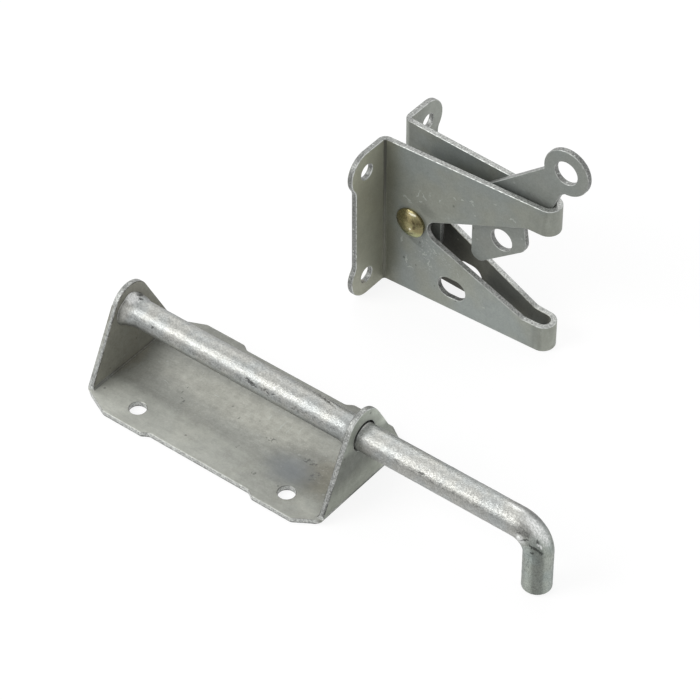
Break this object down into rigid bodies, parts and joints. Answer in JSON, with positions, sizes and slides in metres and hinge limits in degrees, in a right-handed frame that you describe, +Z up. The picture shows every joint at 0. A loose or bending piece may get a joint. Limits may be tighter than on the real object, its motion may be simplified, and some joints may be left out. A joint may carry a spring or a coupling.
{
  "type": "gate latch",
  "caption": "Automatic gate latch in galvanised steel: a folded catch with a pivoting hook lever and pull ring, and a striker bracket holding a bar with a bent grip.",
  "frame": {"origin": "centre of the base of the whole set's bounding box, on the plane z = 0 that the striker's base plate and the catch's lower edge stand on", "axes": "+X along the striker's bar towards its bent grip, which is also the way the catch's mouth opens; +Y from the striker to the catch; +Z up along the striker's ears and along the catch's folds"},
  "size_m": [0.1646, 0.1352, 0.0823],
  "materials": {
    "catch_sheet": "hot-dip galvanised, dull grey with brighter cut edges",
    "pivot_rivet": "yellow passivated zinc",
    "spacer": "zinc plated",
    "latch_lever": "hot-dip galvanised, smooth dull grey",
    "striker_bracket": "hot-dip galvanised, light cloudy grey",
    "striker_bar": "hot-dip galvanised, bright and slightly lumpy"
  },
  "bodies": {
    "mounting": {"catch_sheet": "catch_sheet", "pivot_rivet": "pivot_rivet", "front_spacer": "spacer", "rear_spacer": "spacer", "striker_bracket": "striker_bracket"},
    "lever": {"latch_lever": "latch_lever"},
    "bar": {"striker_bar": "striker_bar"}
  },
  "joints": [
    {"name": "lever_hinge", "type": "hinge", "parent": "mounting", "child": "lever", "pos_m": [-0.03143, 0.04417, 0.02915], "axis": [0, -1, 0], "range_deg": [0, 50]},
    {"name": "bar_turn", "type": "hinge", "parent": "mounting", "child": "bar", "pos_m": [-0.03442, -0.04233, 0.0221], "axis": [1, 0, 0], "continuous": true}
  ]
}
